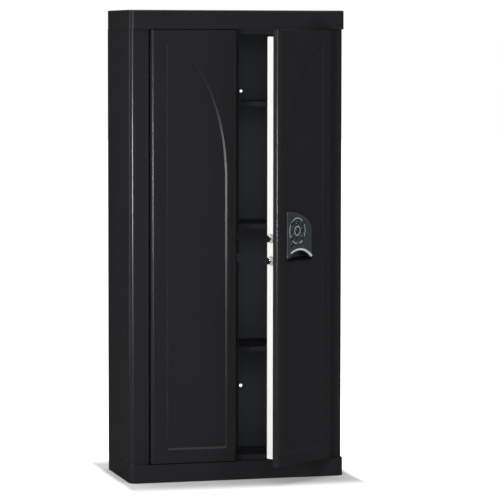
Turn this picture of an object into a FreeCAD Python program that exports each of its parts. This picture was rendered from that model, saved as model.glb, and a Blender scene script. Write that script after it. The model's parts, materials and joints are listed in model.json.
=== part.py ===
import FreeCAD, Part
import math
import os

# Gun safe with two doors. Millimetres. X to the right, Y to the back, Z up.
# The origin is the centre of the base's underside.
# The left door is shut. The right door stands open by OPEN_ANGLE.

# Whole cabinet
HEIGHT = 1500.0
WIDTH = 708.0
DEPTH = 334.0
BASE_H = 58.0
CAP_H = 60.0
CORNER_R = 21.0           # vertical corners of plinth and cap
CAP_EDGE_R = 4.0
TRAY_SHEET = 3.0          # sheet of plinth and cap
ROOF_SHEET = 2.5

# Body sheets
BODY_SHEET = 2.5
BODY_INSET = 2.0          # body in from the plinth, at the sides and the back
POST_SETBACK = 14.0       # door posts back from the plinth's front
POST_R = 20.0
POST_LIP = 8.0
LIP_R = 3.0
POST_W = 64.0             # from the body's side to the door opening
FOLD_FROM_EDGE = 11.0     # fold line on the post, from its inner edge
FOLD_W = 1.6
FOLD_DEEP = 0.8
REAR_FLANGE = 20.0
REAR_R = 5.0

# Holes for wall anchors
ANCHOR_X = 97.0
ANCHOR_FROM_FLOOR = 204.0
ANCHOR_FROM_ROOF = 202.0
ANCHOR_R = 5.0

# Inside
RAIL_H = 16.0
RAIL_DEEP = 30.0
RAIL_SHEET = 2.0
RAIL_GAP = 1.0            # rail ends to the side walls
DIVIDER_SHEET = 2.0
DIVIDER_FRONT = 72.0      # front edges of divider and shelves, from the plinth's front
HEM_W = 12.0
HEM_DEEP = 10.0
HEM_R = 3.0
SHELF_TOPS = (418.0, 815.0, 1209.0)
SHELF_LIP = 16.0
SHELF_SHEET = 2.0
SHELF_EDGE_R = 1.5
SHELF_REAR_GAP = 1.0
STANDARD_W = 12.0
STANDARD_DEEP = 4.0
STANDARD_FROM_FLOOR = 22.0
STANDARD_FROM_ROOF = 20.0
STANDARD_FROM_FRONT = 35.0
STANDARD_FROM_BACK = 40.0
SLOT_W = 3.0
SLOT_H = 12.0
SLOT_DEEP = 2.5
SLOT_PITCH = 25.0
SLOTS_EACH_WAY = 3
CLIP_GAP = 1.0
CLIP_SHEET = 2.0
CLIP_W = 10.0
CLIP_LEDGE = 14.0
CLIP_UP = 12.0
CLIP_HOOK = 2.0

# Long-gun side
RACK_TOP = 1130.0
RACK_SHEET = 3.0
RACK_DEEP = 100.0
RACK_FLANGE = 25.0
RACK_GAP = 6.0            # rack and mat to the walls beside them
NOTCH_COUNT = 5
NOTCH_R = 20.0
NOTCH_PITCH = 62.0
FOAM_T = 12.0
FOAM_OVER = 2.0           # foam past the rack's edge
MAT_T = 10.0
MAT_FRONT_GAP = 14.0

# Doors, given for the right one when shut
DOOR_GAP = 4.0            # door to post
MEET_GAP = 3.0            # between the two doors
DOOR_SETBACK = 3.0        # door front back from the plinth's front
DOOR_END_GAP = 2.5        # above and below
DOOR_SHEET = 2.0
DOOR_R = 12.0
HINGE_FLANGE = 13.5
FREE_FLANGE = 23.0
FIELD_DEEP = 3.0
FIELD_STEP = 6.0
FIELD_FROM_FREE = 34.0
FIELD_FROM_HINGE = 50.0
FIELD_FROM_END = 42.5
FIELD_CENTRE = 25.0       # centre of the arch, from the hinge edge
FIELD_FROM_TOP = 38.5
FIELD_RISE = 439.0
PAN_SHEET = 1.5
PAN_INSET = 20.0
PAN_END = 21.5
PAN_R = 3.0
PAN_RIM = 13.5
DOOR_DEEP = 62.0          # door front to the back of its cover
COVER_SHEET = 1.5
COVER_INSET = 1.0
SCREW_FROM_EDGE = 6.5
SCREW_FROM_LOW = 13.0
SCREW_FROM_HIGH = 7.0
SCREWS_BETWEEN = 4        # between the two end screws
SCREW_FIRST = 317.0
SCREW_PITCH = 287.0
SCREW_R = 1.75
SCREW_LONG = 5.0
SCREW_HEAD_R = 4.0
SCREW_HEAD = 2.2

# Gooseneck hinges
OPEN_ANGLE = 36.5
AXIS_FROM_EDGE = 28.0     # hinge axis, out from the door's hinge edge
AXIS_DEEP = 37.5          # hinge axis, behind the door's front
HINGE_FROM_LOW = 159.5    # outer hinges, from the door's ends
HINGE_FROM_HIGH = 147.5
ARM_T = 6.0
ARM_INNER_R = 38.0
ARM_OUTER_R = 45.0
ARM_START = 100.0         # direction of the spoke when shut
ARM_SPOKE_W = 10.0
HUB_R = 9.0
PIN_R = 4.0
PIN_GAP = 0.05
ARM_PLATE_T = 3.0
ARM_PLATE_H = 56.0
ARM_PLATE_W = 32.0
ARM_FOOT_W = 16.0
EAR_T = 4.0
EAR_GAP = 0.3
EAR_W = 18.0
WEB_T = 3.0
WEB_H = 60.0
WEB_W = 40.0
PIN_HEAD_R = 6.0
PIN_HEAD = 2.5
PIN_TAIL = 2.0

# Meeting edge and strikes
ASTRAGAL_SHEET = 2.0
ASTRAGAL_OVER = 9.0       # past the cabinet's middle
ASTRAGAL_FROM_FLANGE = 1.5
ASTRAGAL_END = 2.0
ASTRAGAL_ROOM = 3.0       # left open above and below a lock bolt
STRIKE_H = 27.0
STRIKE_FROM_MIDDLE = 2.0
STRIKE_GAP = 0.5

# Lock bolts, right door
BOLT_R = 11.0
BOLT_DEEP = 45.0          # bolt axis behind the door's front
BOLT_LEVELS = (711.0, 781.5)
BOLT_OUT = 18.0           # out of the pan at rest
BOLT_LONG = 71.5
BOLT_CHAMFER = 1.5
BOLT_GAP = 0.3
BUSH_R = 12.8
BUSH_LONG = 18.5
BUSH_FLANGE_R = 14.5
BUSH_FLANGE = 1.5
BAR_T = 4.0
BAR_PAST = 14.0           # bar past the outer bolts' axes
YOKE_T = 4.0
YOKE_LOW = 10.0
YOKE_HIGH = 24.0
YOKE_END = 10.0
CRANK_R = 14.0
CRANK_HALF_TURN = 30.0
CRANK_X = 205.0
CRANK_DISC_R = 20.0
CRANK_DISC_T = 4.0
CRANK_PIN_R = 2.5
CRANK_PIN_OUT = 2.0
CRANK_SHAFT_R = 3.0
CRANK_SHAFT_LONG = 10.0
CRANK_GAP = 2.0
SLOT_SIDE_GAP = 0.3
SLOT_PAST = 1.0           # slot past the pin's highest and lowest places
MOTOR_W = 40.0
MOTOR_H = 32.0
MOTOR_CAN_R = 12.0
MOTOR_CAN_LONG = 50.0
MOTOR_ROUND = 3.0
BATTERY = (120.0, 200.0, 600.0, 660.0)
BATTERY_T = 34.0
BATTERY_R = 3.0

# Slide bolts, left door
SLIDE_R = 5.0
SLIDE_X = 44.0
SLIDE_OFF = 8.0           # rod axis behind the cover
SLIDE_LONG = 320.0
SLIDE_END_GAP = 2.0       # tips past the pan's ends
SLIDE_CHAMFER = 1.0
SLIDE_TURN = 40.0         # inner stretch below the handle
HANDLE_R = 4.0
HANDLE_LONG = 22.0
GUIDE_W = 20.0
GUIDE_H = 16.0
GUIDE_T = 16.0
GUIDE_ROUND = 4.0
GUIDE_FROM_TIP = (30.0, 220.0)
SLIDE_HOLE_GAP = 0.5

# Keypad, right door
PAD_FREE_X = 43.5
PAD_HINGE_X = 170.5
PAD_LOW = 710.0
PAD_SPRING = 806.0
PAD_RISE = 59.0
PAD_OUT = 2.5             # housing front ahead of the door's front
PAD_PLATE = 3.0
PAD_RIM = 2.5
PAD_EDGE_R = 1.2
WINDOW_INSET = 3.0
KEY_X = (67.9, 94.5, 121.1)
KEY_LEVELS = (827.0, 804.5, 782.0, 759.5)
KEY_NAMES = (("1", "2", "3"), ("4", "5", "6"), ("7", "8", "9"), ("star", "0", "hash"))
KEY_R = 6.8
KEY_GAP = 0.3
KEY_OUT = 1.7
KEY_EDGE = 0.8
KEY_FLANGE_R = 8.0
KEY_FLANGE = 1.0
KEY_TRAVEL = 1.5
BEZEL_R = 8.6
BEZEL_OUT = 0.6
RING_RS = (14.0, 40.0)
RING_W = 1.4
RING_OUT = 0.4
LAMP_R = 2.0
LAMP_OUT = 0.3
LAMPS = ((151.0, 779.5), (151.0, 768.0), (151.0, 756.5), (67.9, 849.0))
BOARD_T = 1.6
BOARD_INSET = 6.0
BOARD_LOW = 752.5
BOARD_FROM_PLATE = 4.5
SWITCH_R = 4.0
BOSSES = ((54.0, 770.0), (158.0, 795.0), (54.0, 838.0), (112.0, 845.0))
BOSS_R = 3.0

# Finger pull under the keys
CUP = (57.0, 166.5, 713.5, 750.5)
CUP_DEEP = 28.0
CUP_WALL = 2.0
CUP_ROUND = 6.0
MOUTH_LOW = 716.5
LIP_UNDER = ((61.0, 733.5), (118.0, 741.0), (163.0, 719.0))
LIP_OVER = ((59.0, 735.5), (118.0, 747.5), (169.5, 722.0))
LIP_OUT = 4.0
LIP_EDGE_R = 1.0

# Planes that follow from these
FRONT = -DEPTH / 2
BACK = DEPTH / 2
BODY_X = WIDTH / 2 - BODY_INSET
BODY_BACK = BACK - BODY_INSET
BODY_TOP = HEIGHT - CAP_H
WALL_X = BODY_X - BODY_SHEET
OPENING_X = BODY_X - POST_W
POST_Y = FRONT + POST_SETBACK
PANEL_Y = BODY_BACK - 2 * BODY_SHEET
INNER_FRONT = FRONT + DIVIDER_FRONT
DOOR_Y = FRONT + DOOR_SETBACK
DOOR_LOW = BASE_H + DOOR_END_GAP
DOOR_HIGH = BODY_TOP - DOOR_END_GAP
DOOR_FREE = MEET_GAP / 2
DOOR_HINGE = OPENING_X - DOOR_GAP
SKIN_BACK = DOOR_Y + DOOR_SHEET
FIELD_Y = DOOR_Y + FIELD_DEEP
FIELD_BACK = FIELD_Y + DOOR_SHEET
FIELD_SPRING = DOOR_HIGH - FIELD_FROM_TOP - FIELD_RISE
FLANGE_END = DOOR_Y + FREE_FLANGE
PAN_FREE = DOOR_FREE + PAN_INSET
PAN_HINGE = DOOR_HINGE - PAN_INSET
PAN_LOW = DOOR_LOW + PAN_END
PAN_HIGH = DOOR_HIGH - PAN_END
COVER_BACK = DOOR_Y + DOOR_DEEP
PAN_BACK = COVER_BACK - COVER_SHEET
AXIS_X = DOOR_HINGE + AXIS_FROM_EDGE
AXIS_Y = DOOR_Y + AXIS_DEEP
HINGE_ENDS = (DOOR_LOW + HINGE_FROM_LOW, DOOR_HIGH - HINGE_FROM_HIGH)
HINGE_LEVELS = (HINGE_ENDS[0], sum(HINGE_ENDS) / 2, HINGE_ENDS[1])
SCREW_LEVELS = (PAN_LOW + SCREW_FROM_LOW,) + tuple(
    SCREW_FIRST + step * SCREW_PITCH for step in range(SCREWS_BETWEEN)) + (PAN_HIGH - SCREW_FROM_HIGH,)
BOLT_Y = DOOR_Y + BOLT_DEEP
PAD_Y = DOOR_Y - PAD_OUT
PLATE_BACK = PAD_Y + PAD_PLATE
ASTRAGAL_Y = FLANGE_END + ASTRAGAL_FROM_FLANGE
CRANK_Z = sum(BOLT_LEVELS) / 2
CRANK_PIN_X = CRANK_X + CRANK_R * math.sin(math.radians(CRANK_HALF_TURN))
CRANK_PIN_Z = CRANK_Z + CRANK_R * math.cos(math.radians(CRANK_HALF_TURN))
YOKE_Y = BOLT_Y - BAR_T / 2 - YOKE_T
DISC_Y = YOKE_Y - CRANK_GAP - CRANK_DISC_T
MOTOR_BACK = DISC_Y - CRANK_GAP
SLIDE_Y = COVER_BACK + SLIDE_OFF

V = FreeCAD.Vector
UP = V(0, 0, 1)
TINY = 1e-6


# ---------------------------------------------------------------- shapes
def box(x0, x1, y0, y1, z0, z1):
    """A block between three pairs of planes."""
    return Part.makeBox(x1 - x0, y1 - y0, z1 - z0, V(x0, y0, z0))


def rod(radius, start, end):
    """A round bar between two points."""
    return Part.makeCylinder(radius, (end - start).Length, start, end - start)


def group(shapes):
    """Several separate solids in one node."""
    return Part.makeCompound(list(shapes))


def union(first, *others):
    """One solid from pieces that overlap."""
    return first.fuse(list(others)).removeSplitter()


def round_at(before, at, after, radius):
    """Start, middle and end of the round at a corner of a path."""
    into = (before - at).normalize()
    away = (after - at).normalize()
    half = into.getAngle(away) / 2
    cut = radius / math.tan(half)
    middle = (into + away).normalize() * (radius / math.sin(half) - radius)
    return at + into * cut, at + middle, at + away * cut


def path(points, radii, closed=False):
    """Edges along points, with rounds of the given radii at the corners."""
    if closed:
        points = [points[-1]] + points + [points[0]]
    edges = []
    first = last = None if closed else points[0]
    for before, at, after, radius in zip(points, points[1:], points[2:], radii):
        start, middle, end = round_at(before, at, after, radius)
        if last is None:
            first = start
        elif (start - last).Length > TINY:
            edges.append(Part.makeLine(last, start))
        if radius > 0:
            edges.append(Part.Arc(start, middle, end).toShape())
        last = end
    finish = first if closed else points[-1]
    if (finish - last).Length > TINY:
        edges.append(Part.makeLine(last, finish))
    return edges


def prism(edges, along):
    """The solid that a closed flat outline sweeps along a vector."""
    return Part.Face(Part.Wire(Part.__sortEdges__(edges))).extrude(along)


def slab(x0, x1, y0, y1, z0, z1, radii):
    """A block with rounded upright corners: front left, front right, back right, back left."""
    points = [V(x0, y0, z0), V(x1, y0, z0), V(x1, y1, z0), V(x0, y1, z0)]
    return prism(path(points, radii, closed=True), UP * (z1 - z0))


def sheet(points, radii, thickness, z0, z1):
    """Folded sheet: a plan path, thickened to its left, from z0 up to z1."""
    points = [V(x, y, z0) for x, y in points]
    steps = [(b - a).normalize() for a, b in zip(points, points[1:])]
    sides = [V(-s.y, s.x, 0) for s in steps]
    inner = [points[0] + sides[0] * thickness]
    inner_radii = []
    for at, before, after, radius in zip(points[1:], sides, sides[1:], radii):
        inner.append(at + (before + after) * (thickness / (1 + before.dot(after))))
        turn = before.x * after.y - before.y * after.x
        inner_radii.append(radius - math.copysign(thickness, turn))
    inner.append(points[-1] + sides[-1] * thickness)
    ends = [Part.makeLine(points[0], inner[0]), Part.makeLine(points[-1], inner[-1])]
    return prism(path(points, radii) + path(inner, inner_radii) + ends, UP * (z1 - z0))


def arched(spring_x, far_x, centre_x, low, spring, rise, y):
    """Upright outline with one arched shoulder, an ellipse that springs at spring_x."""
    centre = V(centre_x, y, spring)
    side = V(spring_x, y, spring)
    top = V(centre_x, y, spring + rise)
    share = (far_x - centre_x) / (spring_x - centre_x)
    crest = V(far_x, y, spring + rise * math.sqrt(1 - share ** 2))
    shorter, longer = sorted((side, top), key=lambda point: (point - centre).Length)
    ellipse = Part.Ellipse(longer, shorter, centre)
    first, last = ellipse.parameter(side), ellipse.parameter(crest)
    if (last - first) % (2 * math.pi) > math.pi:
        first, last = last, first
    corners = [crest, V(far_x, y, low), V(spring_x, y, low), side]
    edges = [Part.makeLine(a, b) for a, b in zip(corners, corners[1:])]
    return edges + [Part.ArcOfEllipse(ellipse, first, last).toShape()]


def field_outline(inset, y):
    """Outline of the pressed field on the right door."""
    return arched(DOOR_FREE + FIELD_FROM_FREE + inset, DOOR_HINGE - FIELD_FROM_HINGE - inset,
                  DOOR_HINGE - FIELD_CENTRE, DOOR_LOW + FIELD_FROM_END + inset,
                  FIELD_SPRING, FIELD_RISE - inset, y)


def pad_outline(inset, y):
    """Outline of the keypad housing."""
    return arched(PAD_HINGE_X - inset, PAD_FREE_X + inset, PAD_FREE_X, PAD_LOW + inset,
                  PAD_SPRING, PAD_RISE - inset, y)


def through(points_under, low, y):
    """Closed outline under an arc, down to a level line."""
    left, middle, right = (V(x, y, z) for x, z in points_under)
    corners = [left, V(left.x, y, low), V(right.x, y, low), right]
    edges = [Part.makeLine(a, b) for a, b in zip(corners, corners[1:])]
    return edges + [Part.Arc(left, middle, right).toShape()]


def mirrored(shape):
    """The same piece for the left side."""
    return shape.mirror(V(0, 0, 0), V(1, 0, 0))


def swung(shape):
    """A piece of the right door, turned about the hinge axis to where it stands open."""
    turned = shape.copy()
    turned.rotate(V(AXIS_X, AXIS_Y, 0), UP, OPEN_ANGLE)
    return turned


# ---------------------------------------------------------------- cabinet
def tray_block(z0, z1, inset):
    """Plan of plinth and cap, moved in by the inset."""
    x = WIDTH / 2 - inset
    y = DEPTH / 2 - inset
    return slab(-x, x, -y, y, z0, z1, [CORNER_R - inset] * 4)


def slide_hole(z0, z1):
    """Hole for a slide bolt's tip."""
    return rod(SLIDE_R + SLIDE_HOLE_GAP, V(-SLIDE_X, SLIDE_Y, z0), V(-SLIDE_X, SLIDE_Y, z1))


def base_plinth():
    inside = tray_block(0, BASE_H - TRAY_SHEET, TRAY_SHEET)
    return tray_block(0, BASE_H, 0).cut([inside, slide_hole(0, BASE_H)])


def base_plate():
    return tray_block(0, TRAY_SHEET, TRAY_SHEET)


def top_cap():
    block = tray_block(BODY_TOP, HEIGHT, 0)
    rim = [edge for edge in block.Edges if edge.BoundBox.ZMin > HEIGHT - TINY]
    inside = tray_block(BODY_TOP, HEIGHT - TRAY_SHEET, TRAY_SHEET)
    return block.makeFillet(CAP_EDGE_R, rim).cut(inside)


def roof_panel():
    return tray_block(BODY_TOP, BODY_TOP + ROOF_SHEET, TRAY_SHEET).cut(slide_hole(BODY_TOP, HEIGHT))


def right_side_panel():
    points = [(OPENING_X, POST_Y + POST_LIP), (OPENING_X, POST_Y), (BODY_X, POST_Y),
              (BODY_X, BODY_BACK), (BODY_X - REAR_FLANGE, BODY_BACK)]
    panel = sheet(points, [LIP_R, POST_R, REAR_R], BODY_SHEET, BASE_H, BODY_TOP)
    fold = OPENING_X + FOLD_FROM_EDGE
    groove = box(fold - FOLD_W / 2, fold + FOLD_W / 2, POST_Y, POST_Y + FOLD_DEEP, BASE_H, BODY_TOP)
    return panel.cut(groove)


def back_panel():
    side = WALL_X - REAR_R + BODY_SHEET
    panel = box(-side, side, PANEL_Y, PANEL_Y + BODY_SHEET, BASE_H, BODY_TOP)
    holes = [rod(ANCHOR_R, V(x, PANEL_Y, z), V(x, PANEL_Y + BODY_SHEET, z))
             for x in (-ANCHOR_X, ANCHOR_X)
             for z in (BASE_H + ANCHOR_FROM_FLOOR, BODY_TOP - ANCHOR_FROM_ROOF)]
    return panel.cut(holes)


def rail(edge_z, inward):
    """Light angle behind the doors' ends. Its upright leg runs inward from edge_z."""
    front = FLANGE_END + 2 * RAIL_SHEET
    side = WALL_X - RAIL_GAP
    low, high = sorted((edge_z, edge_z + inward * RAIL_H))
    upright = box(-side, side, front, front + RAIL_SHEET, low, high)
    low, high = sorted((edge_z, edge_z + inward * RAIL_SHEET))
    return union(upright, box(-side, side, front, front + RAIL_DEEP, low, high))


def centre_divider():
    half = DIVIDER_SHEET / 2
    wall = box(-half, half, INNER_FRONT, PANEL_Y, BASE_H, BODY_TOP)
    hem = slab(-HEM_W / 2, HEM_W / 2, INNER_FRONT, INNER_FRONT + HEM_DEEP, BASE_H, BODY_TOP,
               [HEM_R, HEM_R, 0, 0])
    return union(wall, hem)


# Shelves run between the slotted strips on the divider and on the side wall.
STRIP_LEFT = DIVIDER_SHEET / 2 + STANDARD_DEEP
STRIP_RIGHT = WALL_X - STANDARD_DEEP
STRIP_YS = (INNER_FRONT + STANDARD_FROM_FRONT, PANEL_Y - STANDARD_FROM_BACK)
SHELF_LEFT = STRIP_LEFT + CLIP_SHEET + CLIP_GAP
SHELF_RIGHT = STRIP_RIGHT - CLIP_SHEET - CLIP_GAP


def shelf(top):
    rear = PANEL_Y - SHELF_REAR_GAP
    tray = box(SHELF_LEFT, SHELF_RIGHT, INNER_FRONT, rear, top - SHELF_LIP, top)
    front = [edge for edge in tray.Edges
             if edge.BoundBox.ZMin > top - TINY and edge.BoundBox.YMax < INNER_FRONT + TINY]
    tray = tray.makeFillet(SHELF_EDGE_R, front)
    return tray.cut(box(SHELF_LEFT + SHELF_SHEET, SHELF_RIGHT - SHELF_SHEET, INNER_FRONT + SHELF_SHEET,
                        rear - SHELF_SHEET, top - SHELF_LIP, top - SHELF_SHEET))


def standard(wall_x, inward, y):
    """Slotted strip on a wall. Inward is the direction that its slots face."""
    face = wall_x + inward * STANDARD_DEEP
    x0, x1 = sorted((wall_x, face))
    strip = box(x0, x1, y - STANDARD_W / 2, y + STANDARD_W / 2,
                BASE_H + STANDARD_FROM_FLOOR, BODY_TOP - STANDARD_FROM_ROOF)
    x0, x1 = sorted((face, face - inward * SLOT_DEEP))
    slots = [box(x0, x1, y - SLOT_W / 2, y + SLOT_W / 2, z - SLOT_H, z)
             for top in SHELF_TOPS
             for z in (top + step * SLOT_PITCH for step in range(-SLOTS_EACH_WAY, SLOTS_EACH_WAY + 1))]
    return strip.cut(slots)


def clip(face_x, inward, y, top):
    """Small bracket that hooks into a strip and carries a shelf's lip."""
    x0, x1 = sorted((face_x, face_x + inward * CLIP_SHEET))
    under = top - SHELF_LIP
    tab = box(x0, x1, y - CLIP_W / 2, y + CLIP_W / 2, under - CLIP_SHEET, under + CLIP_UP)
    x0, x1 = sorted((face_x, face_x + inward * CLIP_LEDGE))
    ledge = box(x0, x1, y - CLIP_W / 2, y + CLIP_W / 2, under - CLIP_SHEET, under)
    x0, x1 = sorted((face_x, face_x - inward * CLIP_HOOK))
    hook = box(x0, x1, y - CLIP_SHEET / 2, y + CLIP_SHEET / 2, top - SLOT_H, under + CLIP_UP)
    return union(tab, ledge, hook)


def shelf_standards():
    walls = ((DIVIDER_SHEET / 2, 1), (WALL_X, -1))
    return group(standard(x, inward, y) for x, inward in walls for y in STRIP_YS)


def shelf_clips():
    faces = ((STRIP_LEFT, 1), (STRIP_RIGHT, -1))
    return group(clip(x, inward, y, top) for x, inward in faces for y in STRIP_YS for top in SHELF_TOPS)


# The rack and the mat fill the left half between wall and divider.
LEFT_WALL = -WALL_X + RACK_GAP
LEFT_INNER = -DIVIDER_SHEET / 2 - RACK_GAP


def rack_notches(radius, front, z0, z1):
    """Round-bottomed notches along the rack's front."""
    middle = (LEFT_WALL + LEFT_INNER) / 2
    cuts = []
    for index in range(NOTCH_COUNT):
        x = middle + (index - (NOTCH_COUNT - 1) / 2) * NOTCH_PITCH
        y = PANEL_Y - RACK_DEEP + NOTCH_R
        cuts.append(rod(radius, V(x, y, z0), V(x, y, z1)))
        cuts.append(box(x - radius, x + radius, front, y, z0, z1))
    return cuts


def barrel_rack():
    front = PANEL_Y - RACK_DEEP
    plate = box(LEFT_WALL, LEFT_INNER, front, PANEL_Y, RACK_TOP - RACK_SHEET, RACK_TOP)
    plate = plate.cut(rack_notches(NOTCH_R, front, RACK_TOP - RACK_SHEET, RACK_TOP))
    flange = box(LEFT_WALL, LEFT_INNER, PANEL_Y - RACK_SHEET, PANEL_Y, RACK_TOP - RACK_FLANGE, RACK_TOP)
    return union(plate, flange)


def barrel_foam():
    front = PANEL_Y - RACK_DEEP - FOAM_OVER
    pad = box(LEFT_WALL, LEFT_INNER, front, PANEL_Y, RACK_TOP, RACK_TOP + FOAM_T)
    return pad.cut(rack_notches(NOTCH_R - FOAM_OVER, front, RACK_TOP, RACK_TOP + FOAM_T))


def stock_mat():
    front = INNER_FRONT + MAT_FRONT_GAP
    return box(LEFT_WALL, LEFT_INNER, front, PANEL_Y - RACK_GAP, BASE_H, BASE_H + MAT_T)


# ---------------------------------------------------------------- hinges
def hinge_bracket(level):
    """Clevis on the side wall. The arm's hub turns between its two ears."""
    wall = WALL_X - AXIS_X
    half = ARM_T / 2 + EAR_GAP
    round_end = POST_Y + POST_R - AXIS_Y
    web = box(wall - WEB_T, wall, round_end, round_end + WEB_W, -WEB_H / 2, WEB_H / 2)
    ears = []
    for low in (-half - EAR_T, half):
        ears.append(box(0, wall - WEB_T / 2, -EAR_W / 2, EAR_W / 2, low, low + EAR_T))
        ears.append(rod(EAR_W / 2, V(0, 0, low), V(0, 0, low + EAR_T)))
    bracket = union(web, *ears).cut(rod(PIN_R, V(0, 0, -WEB_H), V(0, 0, WEB_H)))
    bracket.translate(V(AXIS_X, AXIS_Y, level))
    return bracket


def hinge_pin(level):
    """Headed pin, fast in the ears."""
    top = ARM_T / 2 + EAR_GAP + EAR_T
    shank = rod(PIN_R, V(0, 0, -top - PIN_TAIL), V(0, 0, top))
    head = rod(PIN_HEAD_R, V(0, 0, top), V(0, 0, top + PIN_HEAD))
    pin = union(shank, head)
    pin.translate(V(AXIS_X, AXIS_Y, level))
    return pin


def hinge_arm(level):
    """Gooseneck: hub, spoke and curved neck, which goes round the post's edge as the door opens."""
    half = ARM_T / 2
    knee_r = (ARM_OUTER_R - ARM_INNER_R) / 2
    knee_x = ARM_INNER_R + knee_r
    base = V(0, 0, -half)
    sweep = 180 - ARM_START
    neck = Part.makeCylinder(ARM_OUTER_R, ARM_T, base, UP, sweep)
    neck = neck.cut(Part.makeCylinder(ARM_INNER_R, ARM_T, base, UP))
    neck.rotate(V(0, 0, 0), UP, ARM_START)
    hub = Part.makeCylinder(HUB_R, ARM_T, base, UP)
    spoke = box(0, knee_x, -ARM_SPOKE_W / 2, ARM_SPOKE_W / 2, -half, half)
    knee = rod(knee_r, V(knee_x, 0, -half), V(knee_x, 0, half))
    for piece in (spoke, knee):
        piece.rotate(V(0, 0, 0), UP, ARM_START)
    pan = PAN_HINGE - AXIS_X
    foot = box(pan, -ARM_INNER_R, -ARM_FOOT_W / 2, ARM_FOOT_W / 2, -half, half)
    plate = box(pan, pan + ARM_PLATE_T, -ARM_PLATE_W / 2, ARM_PLATE_W / 2, -ARM_PLATE_H / 2, ARM_PLATE_H / 2)
    arm = union(hub, spoke, knee, neck, foot, plate)
    arm = arm.cut(Part.makeCylinder(PIN_R + PIN_GAP, ARM_T, base, UP))
    arm.translate(V(AXIS_X, AXIS_Y, level))
    return arm


# ---------------------------------------------------------------- doors
def door_skin():
    """Front sheet of the right door: turned edges, end flanges and the pressed field."""
    points = [(DOOR_FREE, FLANGE_END), (DOOR_FREE, DOOR_Y), (DOOR_HINGE, DOOR_Y),
              (DOOR_HINGE, DOOR_Y + HINGE_FLANGE)]
    front = sheet(points, [DOOR_R, DOOR_R], DOOR_SHEET, DOOR_LOW, DOOR_HIGH)
    ends = [slab(DOOR_FREE, DOOR_HINGE, DOOR_Y, DOOR_Y + HINGE_FLANGE, z, z + DOOR_SHEET,
                 [DOOR_R, DOOR_R, 0, 0]) for z in (DOOR_LOW, DOOR_HIGH - DOOR_SHEET)]
    backing = prism(field_outline(-DOOR_SHEET, DOOR_Y), V(0, FIELD_DEEP + DOOR_SHEET, 0))
    wires = [Part.Wire(field_outline(inset, y)) for inset, y in ((0, DOOR_Y), (FIELD_STEP, FIELD_Y))]
    return union(front, backing, *ends).cut(Part.makeLoft(wires, True, True))


def screw_places():
    """Cover screws, as x and level, along both upright rims."""
    columns = (PAN_FREE + SCREW_FROM_EDGE, PAN_HINGE - SCREW_FROM_EDGE)
    return [(x, z) for x in columns for z in SCREW_LEVELS]


def screw_holes():
    return [rod(SCREW_R, V(x, PAN_BACK - PAN_SHEET, z), V(x, COVER_BACK, z)) for x, z in screw_places()]


def door_pan():
    """White liner tray. Its rim carries the cover."""
    span = (PAN_LOW, PAN_HIGH, [0, 0, PAN_R, PAN_R])
    outer = slab(PAN_FREE, PAN_HINGE, SKIN_BACK, PAN_BACK, *span)
    span = (PAN_LOW + PAN_SHEET, PAN_HIGH - PAN_SHEET, [0, 0, PAN_R - PAN_SHEET, PAN_R - PAN_SHEET])
    inner = slab(PAN_FREE + PAN_SHEET, PAN_HINGE - PAN_SHEET, SKIN_BACK, PAN_BACK - PAN_SHEET, *span)
    window = box(PAN_FREE + PAN_RIM, PAN_HINGE - PAN_RIM, SKIN_BACK, PAN_BACK,
                 PAN_LOW + PAN_RIM, PAN_HIGH - PAN_RIM)
    return outer.cut([inner, window] + screw_holes())


def door_cover():
    cover = box(PAN_FREE + COVER_INSET, PAN_HINGE - COVER_INSET, PAN_BACK, COVER_BACK,
                PAN_LOW + COVER_INSET, PAN_HIGH - COVER_INSET)
    return cover.cut(screw_holes())


def cover_screw(x, z):
    shank = rod(SCREW_R, V(x, COVER_BACK - SCREW_LONG, z), V(x, COVER_BACK, z))
    return union(shank, rod(SCREW_HEAD_R, V(x, COVER_BACK, z), V(x, COVER_BACK + SCREW_HEAD, z)))


def cover_screws():
    return group(cover_screw(x, z) for x, z in screw_places())


def hinge_arms():
    return group(hinge_arm(level) for level in HINGE_LEVELS)


# ---------------------------------------------------------------- left door's own pieces
def astragal_angle(low, high):
    """One length of the angle that covers the meeting edge. Its leg lies on the pan's side."""
    blade = box(-PAN_FREE, ASTRAGAL_OVER, ASTRAGAL_Y, ASTRAGAL_Y + ASTRAGAL_SHEET, low, high)
    return union(blade, box(-PAN_FREE, -PAN_FREE + ASTRAGAL_SHEET, ASTRAGAL_Y, PAN_BACK, low, high))


def astragal():
    """Three lengths of angle, with room between them for the lock bolts."""
    reach = BOLT_R + ASTRAGAL_ROOM
    lows = [PAN_LOW + ASTRAGAL_END] + [z + reach for z in BOLT_LEVELS]
    highs = [z - reach for z in BOLT_LEVELS] + [PAN_HIGH - ASTRAGAL_END]
    return group(astragal_angle(low, high) for low, high in zip(lows, highs))


def strike_block(level):
    """Block on the pan's side, between two lengths of the astragal. A thrown bolt catches it."""
    front = ASTRAGAL_Y + ASTRAGAL_SHEET
    return box(-PAN_FREE, -STRIKE_FROM_MIDDLE, front, BOLT_Y - BOLT_R - STRIKE_GAP,
               level - STRIKE_H / 2, level + STRIKE_H / 2)


def slide_bolt(tip, inward):
    """Round rod with a handle peg. Inward is the direction from its tip along the door."""
    end = tip + inward * SLIDE_LONG
    grip = end - inward * SLIDE_TURN
    bar = rod(SLIDE_R, V(-SLIDE_X, SLIDE_Y, tip), V(-SLIDE_X, SLIDE_Y, end))
    rims = [edge for edge in bar.Edges if edge.BoundBox.ZLength < TINY]
    bar = bar.makeChamfer(SLIDE_CHAMFER, rims)
    return union(bar, rod(HANDLE_R, V(-SLIDE_X, SLIDE_Y, grip), V(-SLIDE_X, SLIDE_Y + HANDLE_LONG, grip)))


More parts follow.
